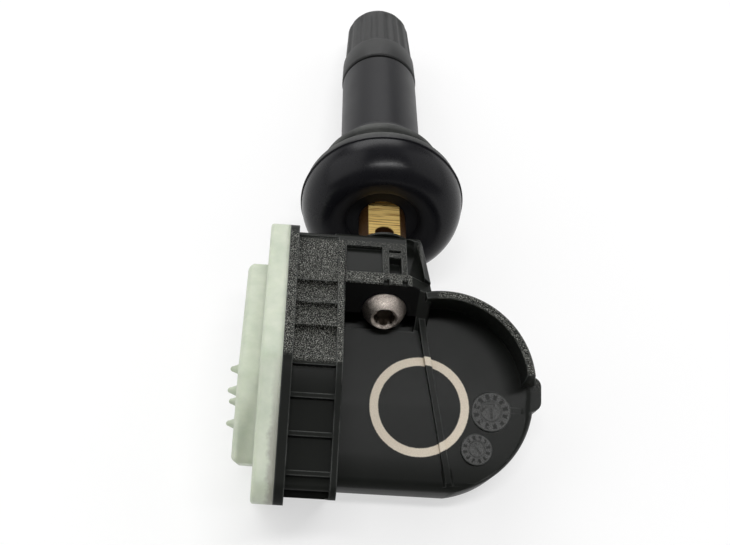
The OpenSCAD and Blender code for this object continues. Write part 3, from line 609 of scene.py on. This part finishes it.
def black_rubber():
    """Glossy black with smears, and painted light: a pale grey on the shoulder behind the bulb."""
    f = Finish("black_rubber")
    place = f.place()
    smear = f.noise(place, 3.0, 4.0, 0.6)
    fine = f.noise(place, 0.12, 3.0, 0.6)
    shade = f.blend(smear, (0.005, 0.005, 0.0065), (0.009, 0.009, 0.011))
    stem_along = f.along(place, ALONG, SCREW_SEAT)
    # Painted light: the shoulder behind the bulb is coloured pale grey where it catches the light.
    painted_shoulder_light = stem_along.above(BULB_Y + 1.0, 1.5) * (1 - stem_along.above(CONE_END - 1.0, 3.0))
    shade = f.blend(painted_shoulder_light * smear.above(0.42, 0.7), shade, (0.105, 0.108, 0.102))
    hollow, _ = polar(f.along(place, ACROSS, SCREW_SEAT), f.along(place, OUT, SCREW_SEAT), (0.0, 0.0))
    hollow = (1 - hollow.above(CROWN_R - 0.3, 0.8)) * (1 - stem_along.above(BULB_Y, 0.5))
    barrel = stem_along.above(CONE_END - 1.0, 2.0)
    rough = 0.18 + smear * 0.14 + fine * 0.05 + painted_shoulder_light * 0.3 + hollow * 0.35 + barrel * 0.14
    normal = f.bump(fine, 0.006, 0.5)
    return f.surface(Base_Color=shade, Roughness=rough, Normal=normal, Specular_IOR_Level=0.18)


rubber = turned("rubber_body", rubber_profile(), 192)
wear(rubber, black_rubber(), "sensor")
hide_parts("rubber_valve")
print("rubber faces", len(rubber.data.polygons))

# %% [markdown]
# The brass stem was turned and then milled. Between the housing and the bulb it has a flat with the
# cutter's lines across it and a cross hole that lets the air out. A flat is a limit on the radius:
# at each angle it may be no more than the flat's height divided by the sine. The valve thread under
# the cap is a ridge that climbs by one pitch a turn.

# %% Brass stem
STEM_R = 2.75
FLAT_H = 2.06
FLAT_RANGE = (6.9, 16.2)
STEM_START = 1.9
STEM_END = 52.2
THREAD_R = 3.85
THREAD_FROM = 44.6
PITCH = 0.794
THREAD_DEPTH = 0.42
CROSS_HOLE_Y = 10.6
CROSS_HOLE_R = 1.1
FLAT_HALF = (STEM_R**2 - FLAT_H**2) ** 0.5
CHAMBER_R = 2.66


def stem_radius(radius, along, angle):
    """The lathe's radius, limited by the flats, less the thread's groove near the end."""
    flat = FLAT_H / np.maximum(np.abs(np.sin(angle)), 1e-6)
    milled = (along > FLAT_RANGE[0]) & (along < FLAT_RANGE[1])
    radius = np.where(milled, np.minimum(radius, flat), radius)
    turn = along / PITCH - angle / (2 * np.pi)
    groove = 1 - np.abs((turn % 1) * 2 - 1)
    cut = np.clip(groove * 2 - 0.6, 0, 1) * THREAD_DEPTH
    threaded = (along > THREAD_FROM) & (radius > THREAD_R - 0.7)
    return np.where(threaded, np.minimum(radius, THREAD_R - cut), radius)


def stem_profile():
    """The stem's outside from its foot to its end, then the core chamber back to a closed floor."""
    milled = np.array([FLAT_RANGE[0], FLAT_RANGE[0] + 0.01, FLAT_RANGE[1] - 0.01, FLAT_RANGE[1]])
    lower = np.concatenate([[STEM_START], milled, [16.4]])
    thread = np.arange(THREAD_FROM, STEM_END - 0.6, PITCH / 12)
    outside = np.concatenate([
        [(0.01, STEM_START)], np.stack([np.full(len(lower), STEM_R), lower], -1),
        [(STEM_R + 0.3, 21.0), (STEM_R + 0.3, 27.0), (THREAD_R - 0.3, 28.0)],
        [(THREAD_R - 0.3, THREAD_FROM - 0.1)],
        np.stack([np.full(len(thread), THREAD_R), thread], -1)])
    inside = [(THREAD_R - 0.55, STEM_END), (CHAMBER_R + 0.1, STEM_END), (CHAMBER_R, STEM_END - 0.2),
              (CHAMBER_R, 47.3), (2.2, 47.2), (2.2, 44.2), (1.9, 42.5), (1.9, 35.0), (1.2, 34.2),
              (1.2, 30.0), (0.01, 30.0)]
    return np.concatenate([outside, inside])


def brass(name, line_size):
    """Turned brass: bright where it was milled flat, with painted shade on the round stem up to just past
    the flats and in the cross hole.
    """
    f = Finish(name)
    place = f.place()
    across = f.along(place, ACROSS, SCREW_SEAT)
    along = f.along(place, ALONG, SCREW_SEAT)
    out = f.along(place, OUT, SCREW_SEAT)
    streak = f.node("CombineXYZ", None, along / line_size, across * 0.12, 0.0)
    lines = f.noise(streak, 1.0, 3.0, 0.7)
    stain = f.noise(place, 0.8, 3.0)
    milled = across.between(-FLAT_HALF, FLAT_HALF, 0.1) * along.between(*FLAT_RANGE, 0.1)
    hole, _ = polar(across, along, (0.0, CROSS_HOLE_Y))
    # Painted shade: the inside of the cross hole is coloured near black.
    painted_hole_shade = (1 - hole.above(CROSS_HOLE_R + 0.1, 0.1)) * (1 - out.above(FLAT_H - 0.12, 0.1)) * milled
    shade = f.blend(stain, (0.62, 0.38, 0.10), (0.80, 0.52, 0.18))
    # Painted shade: the round stem from its foot to just past the flats is coloured near black.
    shade = f.blend(1 - along.above(FLAT_RANGE[1] + 0.5, 0.2), shade, (0.06, 0.026, 0.007))
    shade = f.blend(milled, shade, f.blend(lines.above(0.44, 0.14), (0.30, 0.11, 0.015), (1.0, 0.72, 0.26)))
    shade = f.blend(painted_hole_shade, shade, (0.05, 0.018, 0.004))
    return f.surface(Base_Color=shade, Metallic=0.35, Roughness=0.22 + lines * 0.25,
                     Normal=f.bump(lines, 0.1, 1.0))


def hole_cutter():
    """A closed rod made along the stem, then turned about its middle to point out through both flats."""
    ends = np.array([(CROSS_HOLE_R, -4.0), (CROSS_HOLE_R, 4.0)])
    rod = turned("hole_cutter", ends, 32, loop_rows=False)
    from_own_axes = Matrix([list(ACROSS), list(ALONG), list(OUT)])
    to_turned_axes = Matrix([list(ACROSS), list(-OUT), list(ALONG)]).transposed()
    rod.data.transform(Matrix.Translation(-Vector(from_valve([0, 0, 0]))))
    rod.data.transform((to_turned_axes @ from_own_axes).to_4x4())
    rod.data.transform(Matrix.Translation(Vector(from_valve([0, CROSS_HOLE_Y, 0]))))
    return rod


def drill(piece, cutter):
    """Takes the cutter out of the piece with a Boolean and keeps the result as its mesh."""
    cut = piece.modifiers.new("cross_hole", "BOOLEAN")
    cut.operation = "DIFFERENCE"
    cut.solver = "EXACT"
    cut.object = cutter
    bpy.context.view_layer.update()
    solid = piece.evaluated_get(bpy.context.evaluated_depsgraph_get())
    piece.data = bpy.data.meshes.new_from_object(solid)
    piece.modifiers.clear()
    bpy.data.objects.remove(cutter)
    piece.data.shade_smooth()
    piece.data.set_sharp_from_angle(angle=np.radians(30))


stem = turned("brass_body", stem_profile(), 192, stem_radius, loop_rows=False)
drill(stem, hole_cutter())
wear(stem, brass("milled_brass", 0.22), "sensor")
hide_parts("brass_stem")
print("stem faces", len(stem.data.polygons))

# %% [markdown]
# The screw's head is a low dome with a six-lobed recess. The recess is a star-shaped outline, so the
# head is a grid of rings: from the recess floor up its wall, over the dome and down to the seat. The
# rings inside follow the lobes and the rings outside are round.

# %% Screw
HEAD_R = 2.4
HEAD_H = 2.1
RECESS_R = 1.16
COLLAR = 0.3
RECESS_DEPTH = 1.45
SHANK_R = 1.5
SHANK_LEN = 7.0


def screw_points(steps=144):
    """Rings of (radius, along); the first ones have their radius waved six times for the lobes."""
    angle = np.linspace(0, 2 * np.pi, steps, endpoint=False)
    lobes = 1 - 0.17 * (1 - np.abs(np.cos(3 * angle)) ** 0.8)
    rise = HEAD_H - 0.42
    ball = ((HEAD_R - 0.08) ** 2 + rise**2) / (2 * rise)
    over = np.linspace(RECESS_R + COLLAR, HEAD_R - 0.08, 22)
    dome = -HEAD_H + ball - np.sqrt(ball**2 - over**2)
    rim_y = dome[0]
    floor_y = -HEAD_H + RECESS_DEPTH
    inner = [(0.02, floor_y + 0.25), (0.9, floor_y + 0.05), (RECESS_R - 0.12, floor_y - 0.1),
             (RECESS_R - 0.02, floor_y - 0.25), (RECESS_R, rim_y + 0.32), (RECESS_R + 0.05, rim_y + 0.22),
             (RECESS_R + 0.1, rim_y + 0.16)]
    outer = np.stack([over, dome], -1).tolist()
    outer += [(HEAD_R - 0.02, dome[-1] + 0.1), (HEAD_R, dome[-1] + 0.22), (HEAD_R, -0.12),
              (HEAD_R - 0.1, -0.01), (SHANK_R, -0.01), (SHANK_R, SHANK_LEN - 0.3),
              (SHANK_R - 0.3, SHANK_LEN), (0.02, SHANK_LEN)]
    ring = np.array(inner + outer)
    wave = np.zeros(len(ring))
    wave[: len(inner)] = 1.0
    wave[len(inner) - 1] = 0.6
    radius = ring[:, 0:1] * (1 - wave[:, None] * (1 - lobes[None, :]))
    along = np.repeat(ring[:, 1:2], steps, 1)
    return np.stack([radius * np.cos(angle), along, radius * np.sin(angle)], -1)


def satin_steel():
    """Grained steel with pale specks painted in as glints, and painted shade darkening the inside of the
    recess.
    """
    f = Finish("satin_steel")
    place = f.place()
    grain = f.noise(place, 0.1, 3.0, 0.7)
    tarnish = f.noise(place, 1.0, 3.0)
    shade = f.blend(tarnish, (0.30, 0.26, 0.225), (0.48, 0.42, 0.375))
    # Painted highlight: pale specks on the grain stand in for glints.
    shade = f.blend(grain.above(0.56, 0.12) * 0.8, shade, (0.88, 0.80, 0.73))
    across = f.along(place, ACROSS, SCREW_SEAT)
    out = f.along(place, OUT, SCREW_SEAT)
    depth = f.along(place, ALONG, SCREW_SEAT)
    radius, _ = polar(across, out, (0.0, 0.0))
    # Painted shade: the inside of the recess is coloured near black.
    inside = (1 - radius.above(RECESS_R, 0.06)) * depth.above(-HEAD_H + 0.62, 0.2)
    shade = f.blend(inside, shade, (0.035, 0.027, 0.02))
    return f.surface(Base_Color=shade, Metallic=1.0, Roughness=0.28 + grain * 0.2 + inside * 0.2,
                     Normal=f.bump(grain, 0.06, 1.0))


screw = mesh_piece("screw_body", from_valve(screw_points()), loop_rows=False, sharp=32.0)
wear(screw, satin_steel(), "sensor")
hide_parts("screw")

# %% [markdown]
# The cap has a smooth skirt and a fluted grip. Each flute is a shallow trough that starts above the
# skirt and runs out over the rounded top, so the radius is the plain cap's less a wave in the angle
# that fades in along the cap.

# %% Valve cap
CAP_START = 44.5
CAP_END = 58.5
CAP_R = 5.0
CAP_TOP_R = 4.3
CAP_BORE_R = 3.93
GRIP_Y = 48.7
FLUTES = 14
FLUTE_DEPTH = 0.24


def cap_profile():
    """Skirt, grip and rounded top, then the bore back down to the mouth."""
    grip = np.linspace(GRIP_Y + 0.4, CAP_END - 1.7, 18)
    taper = CAP_R - 0.32 + (CAP_TOP_R - CAP_R + 0.32) * (grip - grip[0]) / (grip[-1] - grip[0])
    top = quarter((CAP_TOP_R - 1.6, CAP_END - 1.6), (1.6, -1.6), 90, 0, 12)
    skirt = [(CAP_BORE_R + 0.3, CAP_START), (CAP_R - 0.2, CAP_START), (CAP_R - 0.05, CAP_START + 0.12),
             (CAP_R, CAP_START + 0.3), (CAP_R - 0.12, GRIP_Y - 0.1), (CAP_R - 0.16, GRIP_Y),
             (CAP_R - 0.3, GRIP_Y + 0.25)]
    bore = [(0.0, CAP_END), (0.0, CAP_END - 1.6), (CAP_BORE_R - 2, CAP_END - 1.6), (CAP_BORE_R - 1.6, 53.7),
            (CAP_BORE_R, 53.7), (CAP_BORE_R, CAP_START + 0.6)]
    return np.concatenate([skirt, np.stack([taper, grip], -1), top, bore])


def cap_radius(radius, along, angle):
    """The plain radius less the flutes, which fade in above the skirt and follow the rounded top."""
    wave = np.cos(FLUTES * angle)
    trough = np.clip((wave + 0.1) / 1.1, 0, 1) ** 0.7
    fade = np.clip((along - GRIP_Y - 0.2) / 0.5, 0, 1)
    outside = radius > CAP_BORE_R - 1.0
    inside = (radius <= CAP_BORE_R + 0.31) & (along < 54)
    keep = np.clip((CAP_END - 0.7 - along) / 2.2, 0, 1)
    return radius - np.where(outside & ~inside, FLUTE_DEPTH * trough * fade * keep, 0)


def black_cap():
    """Matt black plastic with a slight haze."""
    f = Finish("cap_plastic")
    place = f.place()
    haze = f.noise(place, 2.0, 3.0)
    fine = f.noise(place, 0.14, 3.0, 0.6)
    shade = f.blend(haze, (0.014, 0.0145, 0.0145), (0.022, 0.0225, 0.0225))
    return f.surface(Base_Color=shade, Roughness=0.46 + haze * 0.12, Normal=f.bump(fine, 0.012, 0.6),
                     Specular_IOR_Level=0.35)


cap = turned("cap_body", cap_profile(), 224, cap_radius)
wear(cap, black_cap(), "cap")
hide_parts("valve_cap")
print("cap faces", len(cap.data.polygons))

# %% [markdown]
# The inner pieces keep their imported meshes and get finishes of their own: solder mask, moulded
# package, ferrite, enamelled wire, tinned strip, plated cell and red core seal. They are small, so
# one recipe with a colour, a shine and a grain size serves them all.

# %% Finishes of the inner pieces
BLACK = (0.02, 0.02, 0.021)
DARK_GREY = (0.035, 0.035, 0.036)


def plain_finish(name, dark, pale, rough, metal=0.0, size=0.5, depth=0.01):
    """A two-tone finish whose tone, roughness and bump share one noise."""
    f = Finish(name)
    grain = f.noise(f.place(), size, 3.0, 0.6)
    return f.surface(Base_Color=f.blend(grain, dark, pale), Roughness=rough + grain * 0.1, Metallic=metal,
                     Normal=f.bump(grain, depth, 0.6))


inner = {
    "port_filter": plain_finish("white_membrane", (0.70, 0.70, 0.69), (0.88, 0.88, 0.87), 0.7, size=0.08),
    "circuit_board": plain_finish("solder_mask", (0.015, 0.12, 0.05), (0.03, 0.2, 0.09), 0.3, size=0.9),
    "pressure_chip": plain_finish("moulded_package", BLACK, DARK_GREY, 0.5, size=0.1),
    "crystal": plain_finish("crystal_can", (0.58, 0.57, 0.54), (0.72, 0.71, 0.68), 0.25, 1.0, 0.3),
    "wake_coil_core": plain_finish("ferrite", (0.04, 0.04, 0.043), (0.07, 0.07, 0.073), 0.55, size=0.15),
    "wake_coil_winding": plain_finish(
        "enamelled_wire", (0.45, 0.17, 0.07), (0.62, 0.28, 0.12), 0.3, 1.0, 0.06, 0.04),
    "antenna_loop": plain_finish("tinned_strip", (0.55, 0.54, 0.5), (0.7, 0.69, 0.65), 0.25, 1.0, 0.4),
    "capacitors": plain_finish("fired_ceramic", (0.36, 0.27, 0.18), (0.5, 0.4, 0.28), 0.45, size=0.2),
    "cell_can": plain_finish("plated_can", (0.52, 0.52, 0.53), (0.66, 0.66, 0.67), 0.22, 1.0, 0.5),
    "cell_top": plain_finish("plated_top", (0.55, 0.55, 0.56), (0.68, 0.68, 0.69), 0.22, 1.0, 0.5),
    "cell_gasket": plain_finish("cell_seal", (0.03, 0.03, 0.032), (0.05, 0.05, 0.052), 0.5, size=0.2),
    "tab_plus": plain_finish("welded_tab", (0.5, 0.49, 0.48), (0.64, 0.63, 0.62), 0.3, 1.0, 0.25),
    "core_gasket": plain_finish("red_seal", (0.42, 0.04, 0.03), (0.58, 0.08, 0.05), 0.5, size=0.2),
    "core_seal": plain_finish("core_rubber", BLACK, DARK_GREY, 0.5, size=0.15),
    "core_spring": plain_finish("spring_wire", (0.45, 0.44, 0.43), (0.6, 0.59, 0.58), 0.25, 1.0, 0.1),
    "cap_seal": plain_finish("cap_rubber", BLACK, DARK_GREY, 0.5, size=0.15),
    "core_barrel": brass("core_barrel_brass", 0.1),
}
inner["tab_minus"] = inner["tab_plus"]
inner["core_nut"] = inner["core_barrel"]
inner["core_pin"] = inner["core_barrel"]
for node_name, material in inner.items():
    wear(frame["nodes"][node_name], material)

# %% [markdown]
# The valve core's spring shortens when the pin is pressed. Here it is a merged copy of its imported mesh,
# with a mesh of its own, and it rides on the sensor's body at the length it was imported with.

spring = copy_of("core_spring", "spring_coil", 40.0, weighted=False)
wear(spring, inner["core_spring"], "sensor")
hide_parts("core_spring")
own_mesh(spring)
print("spring faces", len(spring.data.polygons))

# %% [markdown]
# The photograph was taken from above the housing's front, with the stem running away. The camera is
# placed in the valve's own axes, in millimetres from the screw's seat, with a view direction and an
# upward direction, so the housing and the valve fall where they do in the picture.

# %% Camera
CAMERA_AT = (-11.19, -95.17, 88.88)
CAMERA_LOOK = (0.0677, 0.7488, -0.6594)
CAMERA_UP = (-0.0697, 0.6628, 0.7455)
FOCAL_PIXELS = 1200.0
PICTURE_WIDTH = 730.0

to_frame = np.array([ACROSS, ALONG, OUT])
look = np.array(CAMERA_LOOK) @ to_frame
up = np.array(CAMERA_UP) @ to_frame
look = look / np.linalg.norm(look)
right = np.cross(look, up)
right = right / np.linalg.norm(right)
up = np.cross(right, look)
camera_data = bpy.data.cameras.new("camera")
camera_data.sensor_width = 36.0
camera_data.lens = 36.0 * FOCAL_PIXELS / PICTURE_WIDTH
camera_data.clip_start = 0.005
camera_data.clip_end = 20.0
camera = bpy.data.objects.new("camera", camera_data)
camera.matrix_world = Matrix.Translation(Vector(from_valve(CAMERA_AT))) @ Matrix(
    np.array([right, up, -look]).T.tolist()).to_4x4()
bpy.context.scene.collection.objects.link(camera)
bpy.context.scene.camera = camera
print("camera above the table by", round(camera.location.z - cad_box[0].z, 4), "m")

# %% [markdown]
# The sensor lies on a white table in soft light. A narrow strip overhead draws the streak on the bulb,
# and broad windows to the back and sides make the grained top faces glitter, beside the glints painted into
# them.
# Together they light a level white surface to about one, so a colour comes out as it is written. The
# table's own material lifts it the last step to white for the camera and for reflections, and it keeps the
# shadow.

# %% Table, light and world
FLOOR_SIZE = 3.0
FLOOR_LIFT = 0.6
LAMINATE = (0.95, 0.95, 0.95, 1.0)
floor_mesh = bpy.data.meshes.new("table_top")
half = FLOOR_SIZE / 2
low = cad_box[0].z
corners = [(-half, -half, low), (half, -half, low), (half, half, low), (-half, half, low)]
floor_mesh.from_pydata(corners, [], [(0, 1, 2, 3)])
floor = bpy.data.objects.new("table_top", floor_mesh)
bpy.context.scene.collection.objects.link(floor)


def white_table():
    """Pale matt laminate, mixed with plain white for rays that come from the camera or a mirror."""
    f = Finish("white_table")
    laminate = f.node("BsdfPrincipled", None, Base_Color=LAMINATE, Roughness=0.6, Specular_IOR_Level=0.2)
    return f.show(f.node("MixShader", None, f.seen() * FLOOR_LIFT, laminate, f.node("Emission")))


floor_mesh.materials.append(white_table())


def lamp(name, bearing, distance, size, power):
    """A soft rectangle of light seen from the object along a bearing, turned to face the object."""
    aim = Vector((cad_box[0] + cad_box[1]) / 2)
    place = aim + Vector(bearing).normalized() * distance
    data = bpy.data.lights.new(name, "AREA")
    data.shape = "RECTANGLE"
    data.size, data.size_y = size
    data.energy = power
    made = bpy.data.objects.new(name, data)
    made.location = place
    made.rotation_euler = (aim - place).to_track_quat("-Z", "Y").to_euler()
    bpy.context.scene.collection.objects.link(made)
    return made


lamp("ceiling_strip", (0.03, -0.21, 0.97), 1.2, (0.75, 0.1), 7.0)
lamp("back_window", (-0.15, 0.86, 0.52), 1.2, (1.0, 0.5), 6.0)
lamp("left_window", (-0.80, 0.10, 0.60), 1.2, (1.3, 1.1), 6.0)
lamp("right_window", (0.80, 0.25, 0.60), 1.2, (1.3, 1.1), 4.0)


AMBIENT = 0.15
BACKDROP_TOP = 0.12


class Sky(Finish):
    """The world, built with the same nodes: dim all round, with a white backdrop low on the horizon."""

    def __init__(self, name):
        self.world = bpy.data.worlds.new(name)
        self.world.use_nodes = True
        self.tree = self.world.node_tree
        background = self.tree.nodes["Background"]
        height = self.node("SeparateXYZ", None, self.node("TexCoord", out="Generated"), out="Z")
        backdrop = self.seen() * (1 - height.above(BACKDROP_TOP, 0.06))
        strength = AMBIENT + (1 - AMBIENT) * backdrop
        self.tree.links.new(strength.socket, background.inputs["Strength"])
        background.inputs["Color"].default_value = (1.0, 1.0, 1.0, 1.0)


bpy.context.scene.world = Sky("studio").world
bpy.context.scene.view_settings.view_transform = "Standard"
